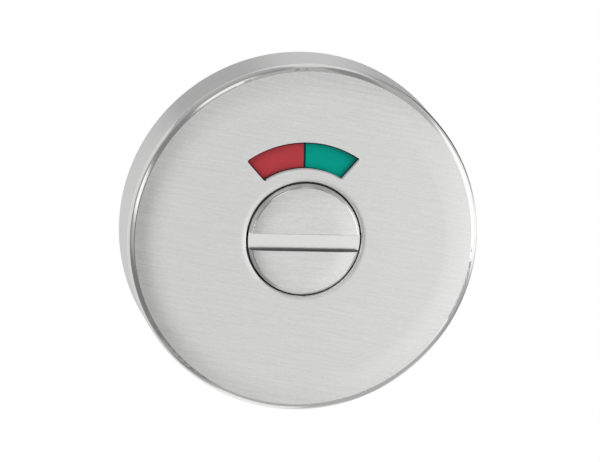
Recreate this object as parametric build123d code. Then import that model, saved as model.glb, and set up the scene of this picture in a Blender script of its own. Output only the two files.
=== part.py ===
from build123d import *

import os
from math import atan, cos, degrees, radians, sin, sqrt

os.makedirs("parts", exist_ok=True)

# Millimetres. The origin is the middle of the rose on the face of the door, +Y runs into the door,
# -Y comes out towards the person, and +Z is up. Angles on the front are counter-clockwise from +X,
# as the person sees them, and every value called a front, back or depth line is a y.

# Cover cap
rose_diameter = 52.0
rose_height = 10.0
cap_sheet = 0.8
cap_edge_radius = 1.0
face_roll_width = 4.0  # band of the face that falls away before the edge
face_roll_drop = 0.27
least_inner_radius = 0.1
hole_edge_radius = 0.25  # round of the edge of the centre hole
hole_roll_width = 0.6  # band of the face that falls towards the hole
hole_roll_drop = 0.08
pry_notch_width = 6.0
pry_notch_depth = 1.2

# Window, whose two ends point at a place a little above the axis
window_inner_radius = 10.62
window_outer_radius = 14.32
window_end_angle = 41.2  # of each end, from upright
window_focus_height = 2.5
window_offset = 0.3  # of its middle, left of the axis
window_corner_radius = 0.15
window_edge_chamfer = 0.18

# Release turn: coin head, keyed collar, journal and tail in one turned piece
head_diameter = 16.6
head_thickness = 2.9
head_proud = 1.2
head_edge_radius = 0.3
head_taper = 0.2  # that the side widens by, from the rounded edge to the level of the cap's face
head_roll_width = 3.0  # band of the head that falls away before the edge
head_roll_drop = 0.2
slot_width = 2.5
slot_depth = 1.2
slot_edge_chamfer = 0.06
slot_drop = 0.3  # of the middle of the slot, under the axis
slot_lean = 2.0  # degrees from level, right end down, which the play of the turn allows
collar_radius = 6.2
collar_flat = 5.3  # of each of its two flats, from the axis
journal_diameter = 10.0
hub_tail = 5.0  # beyond the door face
tail_chamfer = 0.4
turn_travel = 45.0  # each way from the middle

# Indicator
carrier_web = 1.2
carrier_ring_radius = 9.2
pad_inner_radius = 9.0
fan_radius = 15.5
fan_half_angle = 88.0
colour_inner_radius = 9.6
colour_outer_radius = 15.1
colour_half_angle = 86.0
colour_thickness = 0.5
divider_width = 0.2
stop_tab_radius = 17.5
stop_tab_half_angle = 6.0

# Base plate
base_web = 2.2
rim_wall = 2.1
centre_boss_radius = 10.0
boss_pad_radius = 9.0
rib_width = 1.5
rib_count = 8
screw_boss_radius = 4.6
lug_boss_radius = 5.6
stop_post_width = 2.0
stop_post_angle = 6.0
face_pad_radius = 19.6
face_pad_width = 1.6
face_pad_half_angle = 14.0
fixing_inset = 7.0  # from the outside of the rose to each fixing, for centres of 38
fixing_sink = 0.1  # of the lugs and screws, under the front of the web

# Threaded lugs for the bolts that come through the door
lug_radius = 3.75
lug_neck_radius = 3.3
lug_length = 12.0  # beyond the door face
lug_flange_radius = 4.6
lug_flange_flat = 3.9
lug_flange_thickness = 1.2
bolt_bore_radius = 1.65
bolt_bore_mouth = 0.4
bolt_bore_floor = 1.1

# Countersunk wood screws
screw_radius = 1.75
screw_neck_radius = 1.3
screw_length = 20.0
screw_head_radius = 3.5
screw_head_rim = 0.3
screw_point = 3.5
screw_tip_radius = 0.2
cross_width = 0.9
cross_length = 4.2
cross_depth = 1.5

# Snap ring that holds the cap on the base plate
ring_wire = 1.2
ring_height = 2.6  # above the door face
ring_bite = 0.35  # into the wall of the cap
ring_gap_angle = 30.0

# Washers, circlip, spindle and pin
thrust_washer_thickness = 0.4
washer_radius = 7.6
spring_sheet = 0.3
spring_height = 0.5
clip_thickness = 1.0
clip_groove_depth = 0.2
clip_band = 1.6
clip_lug_radius = 1.35
clip_lug_hole = 0.6
clip_gap_half_angle = 32.0
clip_inset = 0.3  # from the door face
recess_radius = 8.3
spindle_side = 5.0
spindle_reach = 45.0  # beyond the door face
spindle_chamfer = 0.4
socket_floor = 3.7  # metal between the coin slot and the spindle's socket
pin_radius = 0.75
pin_wall = 0.18
pin_slit = 0.3
pin_inset = 0.3  # of each end, below the tail's surface
pin_line = 2.6

# Clearances
running_gap = 0.05
thrust_gap = 0.02
seat_gap = 0.05
head_gap = 0.2
window_gap = 0.1
sweep_gap = 0.4
cap_gap = 0.15
rim_headroom = 0.2
stop_gap_angle = 0.5
hole_gap = 0.1
socket_end_gap = 0.2
overrun = 1.0  # of each cut past the surface that it opens

# Lines along the axis, from the front to the door
rose_radius = rose_diameter / 2
head_radius = head_diameter / 2
journal_radius = journal_diameter / 2
cap_front = -rose_height
cap_back = cap_front + cap_sheet
colour_front = cap_back + window_gap
head_front = cap_front - head_proud
head_back = head_front + head_thickness
carrier_back = head_back + carrier_web
boss_front = carrier_back + thrust_gap
base_front = carrier_back + sweep_gap
base_back = base_front + base_web
clip_back = -clip_inset
clip_front = clip_back - clip_thickness
spring_front = clip_front - spring_height
washer_front = spring_front - thrust_washer_thickness
boss_back = washer_front - thrust_gap
socket_front = head_front + slot_depth + socket_floor

# The inside of the cap, which the base plate fills
cap_inner_radius = rose_radius - cap_sheet
cap_inner_edge = max(cap_edge_radius - cap_sheet, least_inner_radius)
flat_radius = rose_radius - cap_edge_radius - face_roll_width
hole_radius = head_radius + head_gap
rim_radius = cap_inner_radius - cap_gap
rim_inner_radius = rim_radius - rim_wall
rim_front = cap_back + face_roll_drop + cap_inner_edge + rim_headroom
groove_radius = cap_inner_radius + ring_bite
ring_centre_radius = groove_radius - hole_gap - ring_wire / 2
fixing_radius = rose_radius - fixing_inset

front_view = Plane.XZ  # x to the right, y up, and its normal towards the person


def turned(points):
    """Solid turned about the Y axis from a closed outline of (radius, y) points."""
    return revolve(make_face(Polyline(*points, close=True)), Axis.Y)


def tube(inner, outer, front, back):
    return turned([(inner, front), (outer, front), (outer, back), (inner, back)])


def rod(radius, front, back):
    return tube(0, radius, front, back)


def between(sketch, front, back):
    """Solid of a sketch in the front view, from one y to another."""
    return Pos(0, back, 0) * extrude(front_view * sketch, back - front)


def at_angle(angle, radius):
    return (radius * cos(radians(angle)), radius * sin(radians(angle)))


def ring_sector(inner, outer, start, end):
    """Sketch of a piece of a ring between two angles."""
    sides = [
        CenterArc((0, 0), outer, start, end - start),
        Line(at_angle(end, outer), at_angle(end, inner)),
        CenterArc((0, 0), inner, start, end - start),
        Line(at_angle(start, inner), at_angle(start, outer)),
    ]
    return Sketch() + make_face(sides)


def with_flats(radius, flat):
    """Sketch of a round with two upright flats."""
    return Circle(radius) & Rectangle(2 * flat, 2 * radius)


def beside(offset):
    """The two places left and right of the axis."""
    return [Pos(-offset, 0, 0), Pos(offset, 0, 0)]


def above_below(offset):
    """The two places over and under the axis."""
    return [Pos(0, 0, offset), Pos(0, 0, -offset)]


def rolled_form(radius, front, back, edge, flat, drop, taper, foot):
    """Filled turned form: flat face, band that rolls off, rounded edge and side.

    The side widens by the taper down to its foot, and is straight from there to the back.
    """
    roll_line = front + drop
    centre_line = roll_line + edge
    lean = atan(taper / (foot - centre_line))
    roll_end = radius - taper - edge / cos(lean)
    side = [(roll_end + edge * cos(lean), centre_line - edge * sin(lean)), (radius, foot)]
    if foot < back:
        side.append((radius, back))
    sides = [
        Line((0, front), (flat, front)),
        TangentArc((flat, front), (roll_end, roll_line), tangent=(1, 0)),
        CenterArc((roll_end, centre_line), edge, -90, 90 - degrees(lean)),
        Polyline(*side, (0, back), (0, front)),
    ]
    return revolve(make_face(sides), Axis.Y)


def window_sketch():
    reach = 2 * window_outer_radius
    half = radians(window_end_angle)
    top = window_focus_height + reach * cos(half)
    wedge = make_face(
        Polyline(
            (0, window_focus_height),
            (reach * sin(half), top),
            (-reach * sin(half), top),
            close=True,
        )
    )
    band = Circle(window_outer_radius) - Circle(window_inner_radius)
    opening = band & wedge
    return Pos(-window_offset, 0) * fillet(opening.vertices(), window_corner_radius)


def window_outline(shell):
    """Edges of the window on the front of the face, over those of the centre hole."""
    front = shell.faces().filter_by(Axis.Y).sort_by(Axis.Y)[0]
    return front.inner_wires().sort_by(Axis.Z)[-1].edges()


def centre_hole():
    """Cutter for the centre hole, with its rounded edge and the band that falls towards it."""
    edge_end = hole_radius + hole_edge_radius
    edge_line = cap_front + hole_roll_drop
    round_line = edge_line + hole_edge_radius
    band_end = edge_end + hole_roll_width
    before, behind = cap_front - overrun, cap_back + overrun
    sides = [
        TangentArc((band_end, cap_front), (edge_end, edge_line), tangent=(-1, 0)),
        CenterArc((edge_end, round_line), hole_edge_radius, -90, -90),
        Polyline((hole_radius, round_line), (hole_radius, behind), (0, behind), (0, before)),
        Polyline((0, before), (band_end, before), (band_end, cap_front)),
    ]
    return revolve(make_face(sides), Axis.Y)


def pry_notch():
    """Shallow round notch in the back edge of the cap, under the rose."""
    radius = (pry_notch_width**2 / 4 + pry_notch_depth**2) / (2 * pry_notch_depth)
    cutter = Cylinder(radius, 3 * cap_sheet)
    return Pos(0, radius - pry_notch_depth, -(rose_radius - cap_sheet / 2)) * cutter


def cover_cap():
    roll = (flat_radius, face_roll_drop)
    side = (0, 0)
    shell = rolled_form(rose_radius, cap_front, 0, cap_edge_radius, *roll, *side)
    shell -= rolled_form(cap_inner_radius, cap_back, 0, cap_inner_edge, *roll, *side)
    shell -= centre_hole()
    shell -= between(window_sketch(), cap_front - overrun, cap_back + overrun)
    shell = chamfer(window_outline(shell), window_edge_chamfer)
    half = ring_wire / 2 + hole_gap
    shell -= tube(rim_radius, groove_radius, -ring_height - half, -ring_height + half)
    return shell - pry_notch()


def release_turn():
    flat = head_radius - head_taper - head_edge_radius - head_roll_width
    roll = (flat, head_roll_drop)
    side = (head_taper, cap_front)
    body = rolled_form(head_radius, head_front, head_back, head_edge_radius, *roll, *side)
    collar_back = carrier_back - hole_gap
    body += between(with_flats(collar_radius, collar_flat), head_back, collar_back)
    groove = journal_radius - clip_groove_depth
    body += turned(
        [
            (0, collar_back),
            (journal_radius, collar_back),
            (journal_radius, clip_front - seat_gap),
            (groove, clip_front - seat_gap),
            (groove, clip_back + seat_gap),
            (journal_radius, clip_back + seat_gap),
            (journal_radius, hub_tail - tail_chamfer),
            (journal_radius - tail_chamfer, hub_tail),
            (0, hub_tail),
        ]
    )
    body -= coin_slot()
    body -= spindle_bar(spindle_side + 2 * seat_gap, socket_front, hub_tail + overrun)
    return body - pin_rod(pin_radius + seat_gap / 2, 2 * head_diameter)


def coin_slot():
    """Cutter for the slot across the head, a little wider at its mouth."""
    half = slot_width / 2
    mouth = half + slot_edge_chamfer
    floor = head_front + slot_depth
    side = [
        (mouth, head_front - overrun),
        (mouth, head_front),
        (half, head_front + slot_edge_chamfer),
        (half, floor),
    ]
    outline = [(y, z) for z, y in side] + [(y, -z) for z, y in reversed(side)]
    section = Plane.YZ * make_face(Polyline(*outline, close=True))
    cutter = Pos(-head_diameter, 0, 0) * extrude(section, 2 * head_diameter)
    return Pos(0, 0, -slot_drop) * Rot(0, slot_lean, 0) * cutter


def spindle_bar(side, front, back):
    """Square bar that stands on its corner while the turn is at the middle."""
    return between(Rot(0, 0, 45) * Rectangle(side, side), front, back)


def spindle():
    bar = spindle_bar(spindle_side, socket_front + socket_end_gap, spindle_reach)
    ends = bar.faces().sort_by(Axis.Y)
    rims = ends[0].edges() + ends[-1].edges()
    bar = chamfer(rims, spindle_chamfer)
    return bar - pin_rod(pin_radius + seat_gap / 2, 2 * spindle_side)


def pin_rod(radius, length):
    """Rod across the tail, square to two sides of the spindle."""
    return Pos(0, pin_line, 0) * Rot(0, 45, 0) * Cylinder(radius, length)


def spring_pin():
    length = 2 * (sqrt(journal_radius**2 - pin_radius**2) - pin_inset)
    pin = Cylinder(pin_radius, length) - Cylinder(pin_radius - pin_wall, 2 * length)
    pin -= Pos(0, pin_radius, 0) * Box(pin_slit, 2 * pin_radius, 2 * length)
    return Pos(0, pin_line, 0) * Rot(0, 45, 0) * pin


def indicator_carrier():
    """Fan behind the window on a ring that is keyed to the turn, with a stop tab below."""
    up, down = 90, 270
    flat_form = Circle(carrier_ring_radius)
    flat_form += ring_sector(pad_inner_radius, fan_radius, up - fan_half_angle, up + fan_half_angle)
    flat_form += ring_sector(
        pad_inner_radius, stop_tab_radius, down - stop_tab_half_angle, down + stop_tab_half_angle
    )
    carrier = between(flat_form, head_back, carrier_back)
    pad = ring_sector(pad_inner_radius, fan_radius, up - fan_half_angle, up + fan_half_angle)
    carrier += between(pad, colour_front, head_back)
    keyhole = with_flats(collar_radius + seat_gap, collar_flat + seat_gap)
    carrier -= between(keyhole, head_back - overrun, carrier_back + overrun)
    for side in (-1, 1):
        carrier -= colour_segment(side, seat_gap)
    return carrier


def colour_segment(side, gap=0.0):
    """Coloured inlay left (-1) or right (1) of the divider, or with a gap the pocket for it."""
    end = colour_half_angle + gap
    start, stop = (90, 90 + end) if side < 0 else (90 - end, 90)
    form = ring_sector(colour_inner_radius - gap, colour_outer_radius + gap, start, stop)
    half_divider = divider_width / 2 + seat_gap - gap
    form -= Pos(0, fan_radius) * Rectangle(2 * half_divider, 2 * fan_radius)
    front = colour_front if gap == 0 else colour_front - overrun
    return between(form, front, colour_front + colour_thickness + gap)


def base_plate():
    """Moulded plate under the cap: web, rim, ribs, bosses, stops and pads for the cap's face."""
    bearing = journal_radius + running_gap
    plate = rod(rim_radius, base_front, base_back)
    plate += tube(rim_inner_radius, rim_radius, rim_front, 0)
    plate += rod(centre_boss_radius, base_front, 0)
    plate += rod(boss_pad_radius, boss_front, base_front)
    for place in beside(fixing_radius):
        plate += place * rod(screw_boss_radius, base_front, 0)
    for place in above_below(fixing_radius):
        plate += place * rod(lug_boss_radius, base_front, 0)
    plate = plate & rod(rim_radius, cap_front, 0)
    rib_length = rim_inner_radius - centre_boss_radius + rim_wall
    rib_middle = centre_boss_radius - rim_wall / 2 + rib_length / 2
    for index in range(rib_count):
        turn = Rot(0, 0, index * 360 / rib_count)
        plate += between(turn * Pos(rib_middle, 0) * Rectangle(rib_length, rib_width), base_back, 0)
    for side in (-1, 1):
        plate += stop_post(side)
    for angle in (45, 135, 225, 315):
        pad = ring_sector(
            face_pad_radius,
            face_pad_radius + face_pad_width,
            angle - face_pad_half_angle,
            angle + face_pad_half_angle,
        )
        plate += between(pad, cap_back + window_gap, base_front)
    plate -= rod(bearing, boss_front - overrun, overrun)
    plate -= rod(recess_radius, boss_back, overrun)
    half = ring_wire / 2 + hole_gap
    groove_floor = ring_centre_radius - ring_wire / 2 - hole_gap
    plate -= tube(groove_floor, rose_radius, -ring_height - half, -ring_height + half)
    for place in beside(fixing_radius):
        plate -= place * screw_seat()
    for place in above_below(fixing_radius):
        plate -= place * lug_seat()
    return plate


def stop_post(side):
    """Post beside the tab's travel that stops the turn at one end."""
    start = stop_tab_half_angle + turn_travel + stop_gap_angle
    low, high = sorted((270 + side * start, 270 + side * (start + stop_post_angle)))
    inner = fan_radius + sweep_gap
    return between(ring_sector(inner, inner + stop_post_width, low, high), head_back, base_front)


def screw_lines():
    """The y of the screw's head, of the end of its cone and of its tip."""
    top = base_front + fixing_sink
    cone_end = top + screw_head_rim + screw_head_radius - screw_neck_radius
    return top, cone_end, top + screw_length


def screw_seat():
    top, cone_end = screw_lines()[:2]
    mouth = screw_head_radius + seat_gap
    hole = screw_radius + hole_gap
    return turned(
        [
            (0, base_front - overrun),
            (mouth, base_front - overrun),
            (mouth, top + screw_head_rim),
            (hole, cone_end + screw_neck_radius + seat_gap - hole),
            (hole, overrun),
            (0, overrun),
        ]
    )


def fixing_screw():
    top, cone_end, tip = screw_lines()
    screw = turned(
        [
            (0, top),
            (screw_head_radius, top),
            (screw_head_radius, top + screw_head_rim),
            (screw_neck_radius, cone_end),
            (screw_neck_radius, 0),
            (screw_radius, 0),
            (screw_radius, tip - screw_point),
            (screw_tip_radius, tip),
            (0, tip),
        ]
    )
    cross = Rectangle(cross_length, cross_width) + Rectangle(cross_width, cross_length)
    recess = extrude(Pos(0, top, 0) * front_view * cross, -cross_depth, taper=15)
    return screw - recess


def lug_lines():
    """The y of the two faces of the lug's flange."""
    front = base_front + fixing_sink
    return front, front + lug_flange_thickness


def lug_seat():
    front, back = lug_lines()
    flange = with_flats(lug_flange_radius + seat_gap, lug_flange_flat + seat_gap)
    seat = between(flange, base_front - overrun, back)
    return seat + rod(lug_radius + seat_gap, back - overrun, overrun)


def threaded_lug():
    front, back = lug_lines()
    lug = between(with_flats(lug_flange_radius, lug_flange_flat), front, back)
    mouth = lug_length - bolt_bore_mouth
    lug += turned(
        [
            (0, back),
            (lug_neck_radius, back),
            (lug_neck_radius, 0),
            (lug_radius, 0),
            (lug_radius, mouth),
            (lug_radius - bolt_bore_mouth, lug_length),
            (0, lug_length),
        ]
    )
    return lug - turned(
        [
            (0, front + bolt_bore_floor),
            (bolt_bore_radius, front + bolt_bore_floor),
            (bolt_bore_radius, mouth),
            (bolt_bore_radius + bolt_bore_mouth, lug_length),
            (0, lug_length),
        ]
    )


def cap_snap_ring():
    """Round wire, open at the bottom over the notch for taking off the cap."""
    section = Plane.XY * Pos(ring_centre_radius, -ring_height) * Circle(ring_wire / 2)
    ring = revolve(section, Axis.Y, 360 - ring_gap_angle)
    return Rot(0, 90 - ring_gap_angle / 2, 0) * ring


def thrust_washer():
    return tube(journal_radius + hole_gap, washer_radius, washer_front, spring_front)


def spring_washer():
    """Coned washer between the thrust washer and the circlip."""
    inner = journal_radius + hole_gap
    return turned(
        [
            (washer_radius, spring_front),
            (washer_radius, spring_front + spring_sheet),
            (inner, clip_front),
            (inner, clip_front - spring_sheet),
        ]
    )


def circlip():
    inner = journal_radius - clip_groove_depth + seat_gap / 2
    outer = inner + clip_band
    start = 90 + clip_gap_half_angle
    form = ring_sector(inner, outer, start, start + 360 - 2 * clip_gap_half_angle)
    lug_places = [at_angle(90 + side * clip_gap_half_angle, outer) for side in (-1, 1)]
    for x, y in lug_places:
        form += Pos(x, y) * Circle(clip_lug_radius)
    form -= Circle(inner)
    for x, y in lug_places:
        form -= Pos(x, y) * Circle(clip_lug_hole)
    return between(form, clip_front, clip_back)


def save(name, solid):
    solid.label = name
    export_step(solid, f"parts/{name}.step")


save("cover_cap", cover_cap())
save("base_plate", base_plate())
save("cap_snap_ring", cap_snap_ring())
for name, place in zip(("threaded_lug_top", "threaded_lug_bottom"), above_below(fixing_radius)):
    save(name, place * threaded_lug())
for name, place in zip(("fixing_screw_left", "fixing_screw_right"), beside(fixing_radius)):
    save(name, place * fixing_screw())
save("release_turn", release_turn())
save("indicator_carrier", indicator_carrier())
save("occupied_segment", colour_segment(-1))
save("vacant_segment", colour_segment(1))
save("thrust_washer", thrust_washer())
save("spring_washer", spring_washer())
save("circlip", circlip())
save("spindle", spindle())
save("spring_pin", spring_pin())
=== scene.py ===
import math

import bmesh
import bpy
from mathutils import Matrix, Vector


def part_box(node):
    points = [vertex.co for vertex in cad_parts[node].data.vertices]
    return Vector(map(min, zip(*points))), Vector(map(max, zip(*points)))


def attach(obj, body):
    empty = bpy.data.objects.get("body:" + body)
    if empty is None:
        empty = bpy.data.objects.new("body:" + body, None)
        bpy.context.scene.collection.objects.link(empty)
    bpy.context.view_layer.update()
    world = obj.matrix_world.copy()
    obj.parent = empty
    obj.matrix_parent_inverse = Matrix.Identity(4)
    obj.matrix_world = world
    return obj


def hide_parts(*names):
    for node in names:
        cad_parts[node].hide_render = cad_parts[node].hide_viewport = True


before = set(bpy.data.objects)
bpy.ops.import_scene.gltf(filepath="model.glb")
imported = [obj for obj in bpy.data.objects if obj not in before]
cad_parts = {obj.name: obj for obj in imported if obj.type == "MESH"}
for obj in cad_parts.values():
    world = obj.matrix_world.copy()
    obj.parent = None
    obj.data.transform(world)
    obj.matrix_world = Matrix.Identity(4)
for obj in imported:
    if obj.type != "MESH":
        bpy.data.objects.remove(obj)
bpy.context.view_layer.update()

mm = 0.001
white = (1.0, 1.0, 1.0, 1.0)
noiseRange = (0.2, 0.8)  # where most values of a noise lie
scene = bpy.context.scene
scene.view_settings.view_transform = "Standard"
print("frame loaded:", ", ".join(sorted(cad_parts)))


# Camera: a very long lens, a little to the left of the rose and above it

viewpoint = {
    "azimuth": -9.571,
    "elevation": 12.809,
    "roll": 1.20,
    "distance": 1000 * mm,
    "sensor": 36.0,
    "lens": 405.72,
    "nearest": 50 * mm,
    "furthest": 20000 * mm,
    "right": 1.029 * mm,  # of the point looked at from the middle of the rose
    "up": -1.019 * mm,
}


def makeCamera(v):
    azimuth, elevation = math.radians(v["azimuth"]), math.radians(v["elevation"])
    back = Vector((
        math.sin(azimuth) * math.cos(elevation),
        -math.cos(azimuth) * math.cos(elevation),
        math.sin(elevation),
    ))
    turn = (-back).to_track_quat("-Z", "Y").to_matrix()
    turn = turn @ Matrix.Rotation(math.radians(v["roll"]), 3, "Z")
    target = turn @ Vector((v["right"], v["up"], 0))
    data = bpy.data.cameras.new("camera")
    data.sensor_width = v["sensor"]
    data.lens = v["lens"]
    data.clip_start, data.clip_end = v["nearest"], v["furthest"]
    camera = bpy.data.objects.new("camera", data)
    camera.matrix_world = Matrix.Translation(target + back * v["distance"]) @ turn.to_4x4()
    scene.collection.objects.link(camera)
    scene.camera = camera


makeCamera(viewpoint)
print("camera placed")


# Small helpers for node trees. A value may be a plain one or another node's socket.


def put(tree, value, socket):
    if isinstance(value, bpy.types.NodeSocket):
        tree.links.new(value, socket)
    else:
        socket.default_value = value


def addNode(tree, kind, inputs=None, **settings):
    made = tree.nodes.new("ShaderNode" + kind)
    for name, value in settings.items():
        setattr(made, name, value)
    for name, value in (inputs or {}).items():
        put(tree, value, made.inputs[name])
    return made


def calc(tree, operation, a, b=0.0, c=0.0):
    made = addNode(tree, "Math", operation=operation)
    for socket, value in zip(made.inputs, (a, b, c)):
        put(tree, value, socket)
    return made.outputs[0]


def times(tree, a, b):
    return calc(tree, "MULTIPLY", a, b)


def between(tree, value, low, high, first=0.0, last=1.0):  # smooth step from low to high
    made = addNode(tree, "MapRange", interpolation_type="SMOOTHSTEP")
    values = {"Value": value, "From Min": low, "From Max": high, "To Min": first, "To Max": last}
    for name, number in values.items():
        put(tree, number, made.inputs[name])
    return made.outputs["Result"]


def around(tree, value, middle, blend, first=0.0, last=1.0):  # smooth step over a narrow blend
    return between(tree, value, middle - blend, middle + blend, first, last)


def within(tree, value, low, high, soft):  # 1 inside a range, 0 outside it
    return times(tree, around(tree, value, low, soft), around(tree, value, high, soft, 1.0, 0.0))


def spread(tree, value, first, last):  # a noise, made to vary from first to last
    return between(tree, value, *noiseRange, first, last)


def vectorNode(tree, operation, vector, other=None):
    made = addNode(tree, "VectorMath", operation=operation)
    put(tree, vector, made.inputs[0])
    if other is not None:
        made.inputs[1].default_value = other
    return made.outputs


def stretched(tree, vector, scale):
    return vectorNode(tree, "MULTIPLY", vector, scale)[0]


def lengthOf(tree, vector):
    return vectorNode(tree, "LENGTH", vector)["Value"]


def dotWith(tree, vector, direction):
    return vectorNode(tree, "DOT_PRODUCT", vector, direction)["Value"]


def noise(tree, vector, scale, detail, rough=0.5):
    inputs = {"Vector": vector, "Scale": scale, "Detail": detail, "Roughness": rough}
    return addNode(tree, "TexNoise", inputs).outputs[0]


def mixed(tree, factor, a, b, kind, first):  # first is the place of the sockets of that kind
    made = addNode(tree, "Mix", data_type=kind)
    for place, value in zip((0, first, first + 1), (factor, a, b)):
        put(tree, value, made.inputs[place])
    return next(socket for socket in made.outputs if socket.enabled)


def mixNumber(tree, factor, a, b):
    return mixed(tree, factor, a, b, "FLOAT", 2)


def mixVector(tree, factor, a, b):
    return mixed(tree, factor, a, b, "VECTOR", 4)


def mixColor(tree, factor, a, b):
    a, b = ((*x, 1.0) if isinstance(x, tuple) else x for x in (a, b))
    return mixed(tree, factor, a, b, "RGBA", 6)


def tinted(tree, factor, color, low, high):  # one colour, made darker or lighter by a noise
    scaled = addNode(tree, "VectorMath", operation="SCALE")
    scaled.inputs[0].default_value = color
    put(tree, spread(tree, factor, low, high), scaled.inputs["Scale"])
    return scaled.outputs[0]


def bump(tree, height, distance, strength):
    inputs = {"Height": height, "Distance": distance, "Strength": strength}
    return addNode(tree, "Bump", inputs).outputs[0]


def seenByCamera(tree):  # 1 for what the camera sees, also through glass
    path = addNode(tree, "LightPath").outputs
    return calc(tree, "MAXIMUM", path["Is Camera Ray"], path["Is Transmission Ray"])


def placeOnPart(tree):  # in millimetres and in the part's own frame
    where = addNode(tree, "TexCoord").outputs["Object"]
    return stretched(tree, where, (1 / mm,) * 3)


def newMaterial(name):
    material = bpy.data.materials.new(name)
    material.use_nodes = True
    tree = material.node_tree
    return material, tree, tree.nodes["Principled BSDF"]


def emptyTree(owner):  # node tree of a world or a material, with nothing in it
    owner.use_nodes = True
    owner.node_tree.nodes.clear()
    return owner.node_tree


def meshFrom(build, name):
    mesh = bpy.data.meshes.new(name)
    build.to_mesh(mesh)
    build.free()
    return mesh


def dress(node, material):
    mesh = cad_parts[node].data
    mesh.materials.clear()
    mesh.materials.append(material)


# Surroundings: a white sweep, a tent that the metal mirrors, lamps and a pale floor

studio = {
    "matt": 0.58,  # what the matt pieces take from all round
    "radius": 450 * mm,  # of the tent
    "subdivisions": 4,
    "mirrored": (0.162, -0.962, -0.222),  # where the flat face sends the line of sight
    "strip": {  # soft light straight ahead, from the left to the right
        "low": -0.19, "high": 0.14, "soft": 0.07,
        "near": -0.5, "far": 0.62, "softEnds": 0.1,
        "left": (-0.262, -0.202, 0.02, 1.34), "right": (-0.005, 0.085, 0.0, 0.57),
        "tilts": (36.0, 40.0),  # degrees between which it fades
    },
    "ring": {"tilts": (34.0, 46.0), "level": 0.69},  # grey all round the strip
    "outer": 1.12,  # level of the rest of the front
    "rear": (-0.20, 0.25, 0.80, 0.55),  # from below to above, as z and level
    "toRear": (0.88, 0.95),  # y where the front passes into the rear
    "softSide": 3.0,  # soft edge of a panel, in degrees round the mirrored line
    "softTilt": 2.5,  # and in degrees away from it
    "panels": {  # where they stand round the mirrored line, half width, nearest and furthest, level
        "right": (8, 25, 9, 34, 1.75),
        "right far": (355, 17, 30, 57, 1.60),
        "right dark": (11, 19, 47, 82, 0.24),
        "right end": (344, 12, 63, 82, 0.26),
        "lower outer": (268, 34, 60, 84, 0.94),
        "lower end": (305, 8, 66, 82, 0.60),
        "upper right": (44, 9, 41, 62, 0.50),
        "upper gap": (69, 8, 3, 42, 0.42),
        "top strip": (101, 9, 26, 44, 0.40),
        "top light": (117, 13, 14, 33, 1.50),
        "top far": (115, 29, 42, 78, 0.66),
        "left above": (142, 13, 6, 46, 0.36),
        "left light": (165, 8, 10, 34, 1.75),
        "left": (207, 32, 7.5, 42, 0.36),
        "left middle": (181, 6, 9, 34, 0.66),
        "left foot": (225, 5, 7.5, 40, 0.60),
        "left below": (196, 9, 3, 30, 0.30),
        "lower light": (262, 13, 24, 62, 1.40),
        "lower right": (324, 8, 32, 76, 0.50),
        "lower middle": (296, 5, 40, 66, 0.72),
        "upper line": (131, 44, 35, 46, 0.52),
    },
    "behind": {  # soft patches behind the rose, which its side mirrors: towards, start, full, level
        "above": ((-0.01, 0.96, 0.28), 0.925, 0.98, 0.26),
        "right": ((0.29, 0.96, 0.00), 0.94, 0.99, 1.40),
    },
}
lamps = {  # metres and watts
    "key": {"at": (0.42, -0.42, 0.10), "size": (0.30, 0.50), "power": 1.5},
    "fill": {"at": (-0.60, -0.50, 0.30), "size": (0.40, 0.40), "power": 1.3},
    "top": {"at": (0.0, -0.30, 0.70), "size": (0.60, 0.40), "power": 1.9},
    "rear": {"at": (0.20, 0.70, 0.35), "size": (0.50, 0.50), "power": 2.4},
}
floorSheet = {
    "height": -0.25,
    "radius": 0.45,
    "sides": 96,
    "whitening": (0.12, 0.42),  # from the middle, where it passes into white for the camera
    "shade": 0.82,
    "mottle": (0.985, 1.0),
    "grain": (60.0, 4.0),  # scale and detail of the noise
    "roughness": 0.9,
    "shine": 0.1,
}


def stripLevel(tree, strip, u):  # how bright the strip is from the left to the right
    rises = [between(tree, u, *strip[side]) for side in ("left", "right")]
    return calc(tree, "ADD", *rises)


def stripMask(tree, strip, u, w, tilt):
    mask = within(tree, w, strip["low"], strip["high"], strip["soft"])
    mask = times(tree, mask, within(tree, u, strip["near"], strip["far"], strip["softEnds"]))
    return times(tree, mask, between(tree, tilt, *strip["tilts"], 1.0, 0.0))


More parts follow.
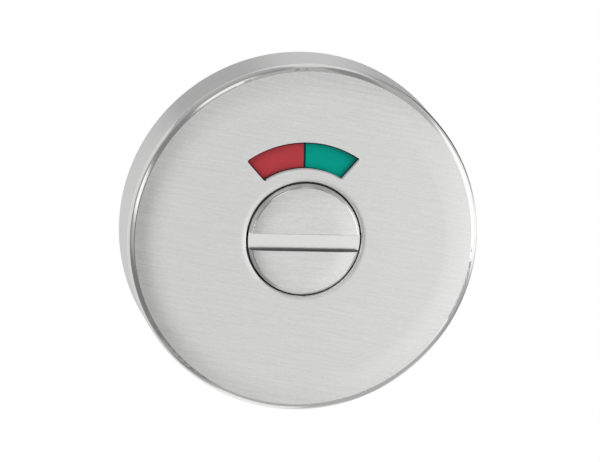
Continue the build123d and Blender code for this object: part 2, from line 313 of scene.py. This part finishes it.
def studioLevel(tree, toward, s):  # how bright the tent is in a direction
    ahead = Vector(s["mirrored"]).normalized()
    right = (Vector((1, 0, 0)) - ahead.x * ahead).normalized()
    u, w = dotWith(tree, toward, right), dotWith(tree, toward, ahead.cross(right))
    turned = calc(tree, "ARCCOSINE", dotWith(tree, toward, ahead))
    tilt = times(tree, turned, math.degrees(0.5))  # of a surface that mirrors it, in degrees
    off = calc(tree, "ADD", times(tree, u, u), times(tree, w, w))
    off = calc(tree, "MAXIMUM", calc(tree, "SQRT", off), 0.001)  # it divides, so never zero
    strip, ring = s["strip"], s["ring"]
    level = mixNumber(tree, between(tree, tilt, *ring["tilts"]), ring["level"], s["outer"])
    level = mixNumber(tree, stripMask(tree, strip, u, w, tilt), level, stripLevel(tree, strip, u))
    for bearing, half, low, high, strength in s["panels"].values():
        angle = math.radians(bearing)
        along = times(tree, w, math.sin(angle))
        along = calc(tree, "MULTIPLY_ADD", u, math.cos(angle), along)
        edges = [math.cos(math.radians(half + soft)) for soft in (s["softSide"], -s["softSide"])]
        mask = between(tree, calc(tree, "DIVIDE", along, off), *edges)
        mask = times(tree, mask, within(tree, tilt, low, high, s["softTilt"]))
        level = mixNumber(tree, mask, level, strength)
    y, z = addNode(tree, "SeparateXYZ", {"Vector": toward}).outputs[1:]
    rear = between(tree, z, *s["rear"])
    for direction, start, full, strength in s["behind"].values():
        mask = between(tree, dotWith(tree, toward, Vector(direction).normalized()), start, full)
        rear = mixNumber(tree, mask, rear, strength)
    return mixNumber(tree, between(tree, y, *s["toRear"]), level, rear)


def makeWorld(s):
    world = bpy.data.worlds.new("studio")
    tree = emptyTree(world)
    level = mixNumber(tree, seenByCamera(tree), s["matt"], 1.0)
    sky = addNode(tree, "Background", {"Color": white, "Strength": level})
    out = addNode(tree, "OutputWorld")
    tree.links.new(sky.outputs[0], out.inputs[0])
    scene.world = world


def makeTent(s):  # light tent with soft panels, which only the metal's reflections see
    build = bmesh.new()
    bmesh.ops.create_icosphere(build, subdivisions=s["subdivisions"], radius=s["radius"])
    mesh = meshFrom(build, "tent")
    material = bpy.data.materials.new("tent cloth")
    tree = emptyTree(material)
    place = addNode(tree, "TexCoord").outputs["Object"]
    level = studioLevel(tree, vectorNode(tree, "NORMALIZE", place)[0], s)
    glow = addNode(tree, "Emission", {"Color": white, "Strength": level})
    out = addNode(tree, "OutputMaterial")
    tree.links.new(glow.outputs[0], out.inputs["Surface"])
    mesh.materials.append(material)
    tent = bpy.data.objects.new("tent", mesh)
    tent.visible_camera = tent.visible_diffuse = tent.visible_transmission = False
    tent.visible_shadow = tent.visible_volume_scatter = False
    scene.collection.objects.link(tent)


def makeLamps(group):
    for name, lamp in group.items():
        data = bpy.data.lights.new(name, "AREA")
        data.shape = "RECTANGLE"
        data.size, data.size_y = lamp["size"]
        data.energy = lamp["power"]
        made = bpy.data.objects.new(name, data)
        made.location = lamp["at"]
        made.rotation_mode = "QUATERNION"
        made.rotation_quaternion = Vector(lamp["at"]).to_track_quat("Z", "Y")
        made.visible_camera = False
        made.visible_glossy = False
        scene.collection.objects.link(made)


def floorMaterial(f):
    material, tree, shader = newMaterial("pale floor")
    where = addNode(tree, "TexCoord").outputs["Object"]
    reach = lengthOf(tree, stretched(tree, where, (1.0, 1.0, 0.0)))
    grain = noise(tree, where, *f["grain"])
    put(tree, tinted(tree, grain, (f["shade"],) * 3, *f["mottle"]), shader.inputs["Base Color"])
    shader.inputs["Roughness"].default_value = f["roughness"]
    shader.inputs["Specular IOR Level"].default_value = f["shine"]
    away = times(tree, seenByCamera(tree), between(tree, reach, *f["whitening"]))
    glow = addNode(tree, "Emission", {"Color": white, "Strength": 1.0})
    blend = addNode(tree, "MixShader", {0: away})
    tree.links.new(shader.outputs[0], blend.inputs[1])
    tree.links.new(glow.outputs[0], blend.inputs[2])
    clear = addNode(tree, "BsdfTransparent")  # metal shows the studio below the floor
    whole = addNode(tree, "MixShader", {0: addNode(tree, "LightPath").outputs["Is Glossy Ray"]})
    tree.links.new(blend.outputs[0], whole.inputs[1])
    tree.links.new(clear.outputs[0], whole.inputs[2])
    tree.links.new(whole.outputs[0], tree.nodes["Material Output"].inputs["Surface"])
    return material


def makeFloor(f):
    build = bmesh.new()
    bmesh.ops.create_circle(build, cap_ends=True, segments=f["sides"], radius=f["radius"])
    bmesh.ops.translate(build, vec=(0, 0, f["height"]), verts=build.verts)
    mesh = meshFrom(build, "floor")
    mesh.materials.append(floorMaterial(f))
    sheet = bpy.data.objects.new("floor", mesh)
    scene.collection.objects.link(sheet)


makeWorld(studio)
makeTent(studio)
makeLamps(lamps)
makeFloor(floorSheet)
print("studio lit")


# Satin steel of the cap and of the head

steel = {
    "color": (0.677, 0.677, 0.672),  # brushed faces
    "tint": (0.86, 1.14),
    "sideTint": (0.92, 1.08),
    "satin": (0.27, 0.34),  # roughness of what is brushed or turned
    "anisotropy": 0.9,
    "grainDepth": 0.004 * mm,
    "grainStrength": 0.5,
    "layers": ((3.0, 0.6, 0.35), (2.0, 0.5, 0.35), (1.0, 0.5, 0.30)),  # detail, roughness, share
    "faceGrain": ((0.85, 0.5, 6.0), (0.14, 0.3, 2.2), (2.6, 0.5, 5.0)),  # stretch of each layer
    "sideGrain": ((0.12, 9.0, 0.12), (0.04, 2.5, 0.04), (1.5, 5.0, 1.5)),
    "polish": (0.57, 0.57, 0.565),
    "polished": 0.09,
    "ground": (0.59, 0.59, 0.586),  # floor of the slot
    "grounded": 0.17,
    "cut": 0.5,  # roughness of the cut walls that carry painted shade
}
capSteel = {
    "side": (0.57, 0.57, 0.566),  # drawn side, painted a little darker than the brushed face as shade on the side
    "grainTurn": math.radians(-12.0),  # the brushing falls to the right
    "blend": 0.03,
    "edgeStart": 25.0,  # radius where the polished edge starts
    "edgeBack": -8.73,  # where it meets the drawn side
    "backBlend": 0.05,
    "holeEdge": (8.66, 8.78),  # radii between which the brushing gives way to the polish
    "windowFrom": 9.8,
    "windowTo": 15.2,
    "windowBlend": 0.01,
    "chamferTop": -9.995,
    "chamferEnd": -9.818,
    "chamferBlend": 0.003,
    "paintedShadeColor": (0.02, 0.02, 0.02),  # painted shade: the window's walls, and its chamfer at the left and the outer arc, made near black as the shadow in the window's gap
    "outerArc": 14.10,
    "focus": 2.5,  # height that the window's ends point at
    "offset": 0.3,  # of the window, to the left
    "endSlope": math.tan(math.radians(40.2)),
    "endBlend": 0.05,
}
headSteel = {
    # the turned side is painted lighter than the brushed face, as painted light on the side
    "side": (0.80, 0.80, 0.794),
    "grainTurn": math.radians(-4.0),
    "blend": 0.02,
    "roundStart": 7.79,  # radius where the polished edge starts
    "roundEnd": -10.78,  # where it meets the side
    "back": -8.3,  # where the turned shank starts
    "backBlend": 0.05,
    "slotHalf": 1.25,
    "slotFloor": -10.0,
    "lean": math.radians(2.0),  # of the slot, as in the solid
    "drop": 0.3,
    "paintedShadeColor": (0.17, 0.17, 0.168),  # painted shade on the milled cheeks of the slot, made dark as the shade inside the slot
}


def brushedGrain(tree, where, layers, stretches):  # short streaks, broader ones and specks
    total = 0.0
    for (detail, rough, share), stretch in zip(layers, stretches):
        layer = noise(tree, stretched(tree, where, stretch), 1.0, detail, rough)
        total = calc(tree, "MULTIPLY_ADD", layer, share, total)
    return total


def capZones(tree, x, y, z, radius, c):  # where it is wall, polished, ground, and dark with painted shade
    rim = around(tree, radius, c["edgeStart"], c["blend"])
    wall = times(tree, rim, around(tree, y, c["edgeBack"], c["backBlend"]))
    edge = calc(tree, "SUBTRACT", rim, wall)
    hole = between(tree, radius, *c["holeEdge"], 1.0, 0.0)
    band = within(tree, radius, c["windowFrom"], c["windowTo"], c["windowBlend"])
    level = within(tree, y, c["chamferTop"], c["chamferEnd"], c["chamferBlend"])
    height = calc(tree, "SUBTRACT", z, c["focus"])
    shifted = calc(tree, "ADD", x, c["offset"])
    fromEnd = calc(tree, "MULTIPLY_ADD", height, c["endSlope"], shifted)
    left = between(tree, fromEnd, -c["endBlend"], 0.0, 1.0, 0.0)
    # painted shade: the chamfer at the left end and along the outer arc is made dark, as the shadow
    # line round the window
    shaded = calc(tree, "MAXIMUM", left, around(tree, radius, c["outerArc"], c["blend"]))
    chamfer = times(tree, times(tree, band, level), shaded)
    # painted shade: the window's inner walls are made dark as well
    inner = between(tree, y, c["chamferEnd"], c["chamferEnd"] + c["windowBlend"])
    dark = calc(tree, "MAXIMUM", chamfer, times(tree, band, inner))
    return wall, calc(tree, "MAXIMUM", edge, hole), 0.0, dark


def headZones(tree, x, y, z, radius, h):  # the same four for the head
    blend = h["blend"]
    rim = around(tree, radius, h["roundStart"], blend)
    shank = around(tree, y, h["back"], h["backBlend"])
    side = times(tree, rim, around(tree, y, h["roundEnd"], blend))
    up = times(tree, calc(tree, "ADD", z, h["drop"]), math.cos(h["lean"]))
    across = calc(tree, "ABSOLUTE", calc(tree, "MULTIPLY_ADD", x, math.sin(h["lean"]), up))
    gap = around(tree, across, h["slotHalf"] + blend, blend / 2, 1.0, 0.0)
    inSlot = times(tree, gap, calc(tree, "SUBTRACT", 1.0, shank))
    clear = calc(tree, "SUBTRACT", 1.0, inSlot)
    wall = calc(tree, "MAXIMUM", shank, times(tree, side, clear))
    edge = times(tree, clear, calc(tree, "SUBTRACT", rim, wall))
    edge = calc(tree, "MAXIMUM", edge, 0.0)
    low = between(tree, y, h["slotFloor"] - 2 * blend, h["slotFloor"] - blend)
    # painted shade: the cheeks of the slot are made dark
    cheek = times(tree, inSlot, calc(tree, "SUBTRACT", 1.0, low))
    return wall, edge, times(tree, inSlot, low), cheek


def satinSteel(name, s, piece, zones):
    material, tree, shader = newMaterial(name)
    where = placeOnPart(tree)
    x, y, z = addNode(tree, "SeparateXYZ", {"Vector": where}).outputs
    radius = lengthOf(tree, stretched(tree, where, (1.0, 0.0, 1.0)))
    turn = {"Vector": where, "Angle": piece["grainTurn"]}
    lying = addNode(tree, "VectorRotate", turn, rotation_type="Y_AXIS").outputs[0]
    wall, polished, ground, dark = zones(tree, x, y, z, radius, piece)
    faceGrain = brushedGrain(tree, lying, s["layers"], s["faceGrain"])
    sideGrain = brushedGrain(tree, where, s["layers"], s["sideGrain"])
    grain = mixNumber(tree, wall, faceGrain, sideGrain)
    color = tinted(tree, grain, s["color"], *s["tint"])
    color = mixColor(tree, wall, color, tinted(tree, grain, piece["side"], *s["sideTint"]))
    color = mixColor(tree, polished, color, s["polish"])
    color = mixColor(tree, ground, color, s["ground"])
    # painted shade in the window's edges and on the slot's cheeks
    color = mixColor(tree, dark, color, piece["paintedShadeColor"])
    rough = mixNumber(tree, polished, spread(tree, grain, *s["satin"]), s["polished"])
    rough = mixNumber(tree, ground, rough, s["grounded"])
    rough = mixNumber(tree, dark, rough, s["cut"])
    alongFace = addNode(tree, "Tangent", direction_type="RADIAL", axis="Z").outputs[0]
    alongSide = addNode(tree, "Tangent", direction_type="RADIAL", axis="Y").outputs[0]
    grained = calc(tree, "SUBTRACT", 1.0, calc(tree, "ADD", polished, ground))
    relief = bump(tree, times(tree, grain, grained), s["grainDepth"], s["grainStrength"])
    put(tree, color, shader.inputs["Base Color"])
    put(tree, rough, shader.inputs["Roughness"])
    put(tree, mixVector(tree, wall, alongFace, alongSide), shader.inputs["Tangent"])
    put(tree, relief, shader.inputs["Normal"])
    shader.inputs["Metallic"].default_value = 1.0
    shader.inputs["Anisotropic"].default_value = s["anisotropy"]
    shader.inputs["Anisotropic Rotation"].default_value = 0.25  # a quarter turn
    return material


dress("cover_cap", satinSteel("satin steel cap", steel, capSteel, capZones))
dress("release_turn", satinSteel("satin steel head", steel, headSteel, headZones))
print("cap and head dressed")


# Plastics: the inlays, the black and the white acetal and the base plate

inlays = {
    "occupied_segment": {"name": "red inlay", "color": (0.413, 0.045, 0.054), "mottle": 0.05},
    "vacant_segment": {"name": "green inlay", "color": (0.0, 0.287, 0.223), "mottle": 0.03},
}
inlaySurface = {
    "cloud": (1.6, 4.0, 0.65),  # scale, detail and roughness of the noise
    "fine": (9.0, 2.0),
    "roughness": (0.42, 0.52),
    "depth": 0.01 * mm,
    "strength": 0.4,
    "shine": 0.03,
}
mouldings = {
    "indicator_carrier": {
        "name": "black acetal", "color": (0.012, 0.012, 0.013),
        "roughness": 0.4, "grain": 7.0, "depth": 0.01 * mm, "shine": 0.15,
    },
    "base_plate": {
        "name": "glass filled nylon", "color": (0.03, 0.03, 0.032),
        "roughness": 0.55, "grain": 5.0, "depth": 0.03 * mm, "shine": 0.5,
    },
    "thrust_washer": {
        "name": "natural acetal", "color": (0.75, 0.75, 0.72),
        "roughness": 0.4, "grain": 6.0, "depth": 0.01 * mm, "shine": 0.5,
    },
}
mouldedSurface = {
    "grain": (5.0, 0.6),  # its detail and roughness
    "flow": (0.25, 0.6, 0.25),  # marks of the flow in the mould
    "flowDetail": 3.0,
    "tint": (0.8, 1.25),
    "roughnessSwing": 0.08,
    "strength": 0.6,
}


def inlay(look, s):
    material, tree, shader = newMaterial(look["name"])
    where = placeOnPart(tree)
    cloud, fine = noise(tree, where, *s["cloud"]), noise(tree, where, *s["fine"])
    color = tinted(tree, cloud, look["color"], 1 - look["mottle"], 1 + look["mottle"])
    put(tree, color, shader.inputs["Base Color"])
    put(tree, spread(tree, fine, *s["roughness"]), shader.inputs["Roughness"])
    put(tree, bump(tree, fine, s["depth"], s["strength"]), shader.inputs["Normal"])
    shader.inputs["Specular IOR Level"].default_value = s["shine"]
    return material


def moulded(look, s):
    material, tree, shader = newMaterial(look["name"])
    where = placeOnPart(tree)
    grain = noise(tree, where, look["grain"], *s["grain"])
    flow = noise(tree, stretched(tree, where, s["flow"]), 1.0, s["flowDetail"])
    low, high = look["roughness"] - s["roughnessSwing"], look["roughness"] + s["roughnessSwing"]
    put(tree, tinted(tree, flow, look["color"], *s["tint"]), shader.inputs["Base Color"])
    put(tree, spread(tree, grain, low, high), shader.inputs["Roughness"])
    put(tree, bump(tree, grain, look["depth"], s["strength"]), shader.inputs["Normal"])
    shader.inputs["Specular IOR Level"].default_value = look["shine"]
    return material


for node, look in inlays.items():
    dress(node, inlay(look, inlaySurface))
for node, look in mouldings.items():
    dress(node, moulded(look, mouldedSurface))
print("plastics dressed")


# Plated and oiled steel: springs, spindle, lugs and screws

platings = {  # two colours that cloud into each other, roughness, stretch of the drawing lines
    "oiled spring steel": {
        "nodes": ("cap_snap_ring", "spring_washer", "circlip", "spring_pin"),
        "colors": ((0.26, 0.26, 0.27), (0.34, 0.33, 0.32)),
        "roughness": 0.3, "lines": (4.0, 4.0, 4.0),
    },
    "drawn spindle steel": {
        "nodes": ("spindle",),
        "colors": ((0.42, 0.43, 0.46), (0.49, 0.50, 0.52)),
        "roughness": 0.3, "lines": (6.0, 0.25, 6.0),
    },
    "bright zinc": {
        "nodes": ("threaded_lug_top", "threaded_lug_bottom"),
        "colors": ((0.50, 0.53, 0.58), (0.57, 0.58, 0.60)),
        "roughness": 0.28, "lines": (0.5, 8.0, 0.5),
    },
    "yellow zinc": {
        "nodes": ("fixing_screw_left", "fixing_screw_right"),
        "colors": ((0.68, 0.56, 0.30), (0.62, 0.50, 0.36)),
        "roughness": 0.28, "lines": (0.8, 5.0, 0.8),
    },
}
platedSurface = {
    "cloud": (0.9, 3.0),
    "change": (0.35, 0.65),  # from the first colour to the second
    "lineDetail": 3.0,
    "smoother": 0.06,  # how far the lines take the roughness down and up
    "rougher": 0.08,
    "depth": 0.006 * mm,
    "strength": 0.5,
}


def plated(name, look, s):
    material, tree, shader = newMaterial(name)
    where = placeOnPart(tree)
    cloud = between(tree, noise(tree, where, *s["cloud"]), *s["change"])
    streaks = noise(tree, stretched(tree, where, look["lines"]), 1.0, s["lineDetail"])
    low, high = look["roughness"] - s["smoother"], look["roughness"] + s["rougher"]
    put(tree, mixColor(tree, cloud, *look["colors"]), shader.inputs["Base Color"])
    put(tree, spread(tree, streaks, low, high), shader.inputs["Roughness"])
    put(tree, bump(tree, streaks, s["depth"], s["strength"]), shader.inputs["Normal"])
    shader.inputs["Metallic"].default_value = 1.0
    return material


for name, look in platings.items():
    finish = plated(name, look, platedSurface)
    for node in look["nodes"]:
        dress(node, finish)
print("plated pieces dressed")


# Threads of the screws and of the lugs, in millimetres along y and from the piece's own axis

woodThread = {
    "finish": "yellow zinc", "slot": "screw_zinc", "operation": "INTERSECT",
    "pitch": 1.6, "share": 0.34, "start": -7.0, "end": 14.0, "step": 0.1, "sides": 36,
    "head": (0.3, 4.0),  # up to where the head stays whole, and a radius that clears it
    "core": 1.15, "ridge": 0.68,
    "point": 13.5, "taper": 3.6, "least": 0.12,
}
boltThread = {
    "finish": "bright zinc", "slot": "zinc_plate", "operation": "DIFFERENCE",
    "pitch": 0.7, "share": 0.5, "start": -5.4, "end": 12.6, "step": 0.07, "sides": 36,
    "core": 1.55, "ridge": 0.45,
    "from": -5.2, "runOut": 0.8,
}
sharpEdge = math.radians(28)


def screwRadius(thread, y, ridge):  # sharp ridge over a thin core, smaller towards the point
    headEnd, headRadius = thread["head"]
    if y < headEnd:
        return headRadius
    scale = min(1.0, max(thread["least"], (thread["point"] - y) / thread["taper"]))
    return scale * (thread["core"] + thread["ridge"] * ridge)


def tapRadius(thread, y, ridge):  # inside the plain bore, with the groove cut into its wall
    depth = min(1.0, max(0.0, (y - thread["from"]) / thread["runOut"]))
    return thread["core"] + thread["ridge"] * ridge * depth


def threadForm(thread, radiusAt, centre):  # closed turned form with one helical ridge or groove
    build = bmesh.new()
    sides = thread["sides"]
    rings = []
    for k in range(int((thread["end"] - thread["start"]) / thread["step"]) + 1):
        y = thread["start"] + k * thread["step"]
        ring = []
        for i in range(sides):
            angle = 2 * math.pi * i / sides
            place = (y / thread["pitch"] - i / sides) % 1.0
            r = radiusAt(thread, y, max(0.0, 1 - abs(place - 0.5) / thread["share"]))
            ring.append(build.verts.new((
                centre.x + r * math.cos(angle) * mm, y * mm, centre.z + r * math.sin(angle) * mm
            )))
        rings.append(ring)
    for one, two in zip(rings, rings[1:]):
        for i in range(sides):
            j = (i + 1) % sides
            build.faces.new((one[i], two[i], two[j], one[j]))
    build.faces.new(rings[0])
    build.faces.new(reversed(rings[-1]))
    bmesh.ops.recalc_face_normals(build, faces=build.faces)
    return bpy.data.objects.new("form", meshFrom(build, "form"))


def cutThread(node, thread, radiusAt):  # the solid's own form, with its thread cut
    low, high = (Vector(corner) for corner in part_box(node))
    form = threadForm(thread, radiusAt, (low + high) / 2)
    scene.collection.objects.link(form)
    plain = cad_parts[node]
    piece = bpy.data.objects.new(node + "_threaded", plain.data.copy())
    piece.matrix_world = plain.matrix_world
    scene.collection.objects.link(piece)
    cut = piece.modifiers.new("thread", "BOOLEAN")
    cut.operation, cut.solver, cut.object = thread["operation"], "EXACT", form
    evaluated = piece.evaluated_get(bpy.context.evaluated_depsgraph_get())
    piece.data = bpy.data.meshes.new_from_object(evaluated)
    piece.modifiers.clear()
    bpy.data.objects.remove(form)
    piece.data.polygons.foreach_set("use_smooth", [True] * len(piece.data.polygons))
    piece.data.set_sharp_from_angle(angle=sharpEdge)
    piece.data.materials.clear()
    piece.data.materials.append(plain.data.materials[0])
    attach(piece, "rose")
    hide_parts(node)
    print(piece.name, len(piece.data.vertices), "points")


for thread, radiusAt in ((boltThread, tapRadius), (woodThread, screwRadius)):
    for node in platings[thread["finish"]]["nodes"]:
        cutThread(node, thread, radiusAt)
print("threads cut")
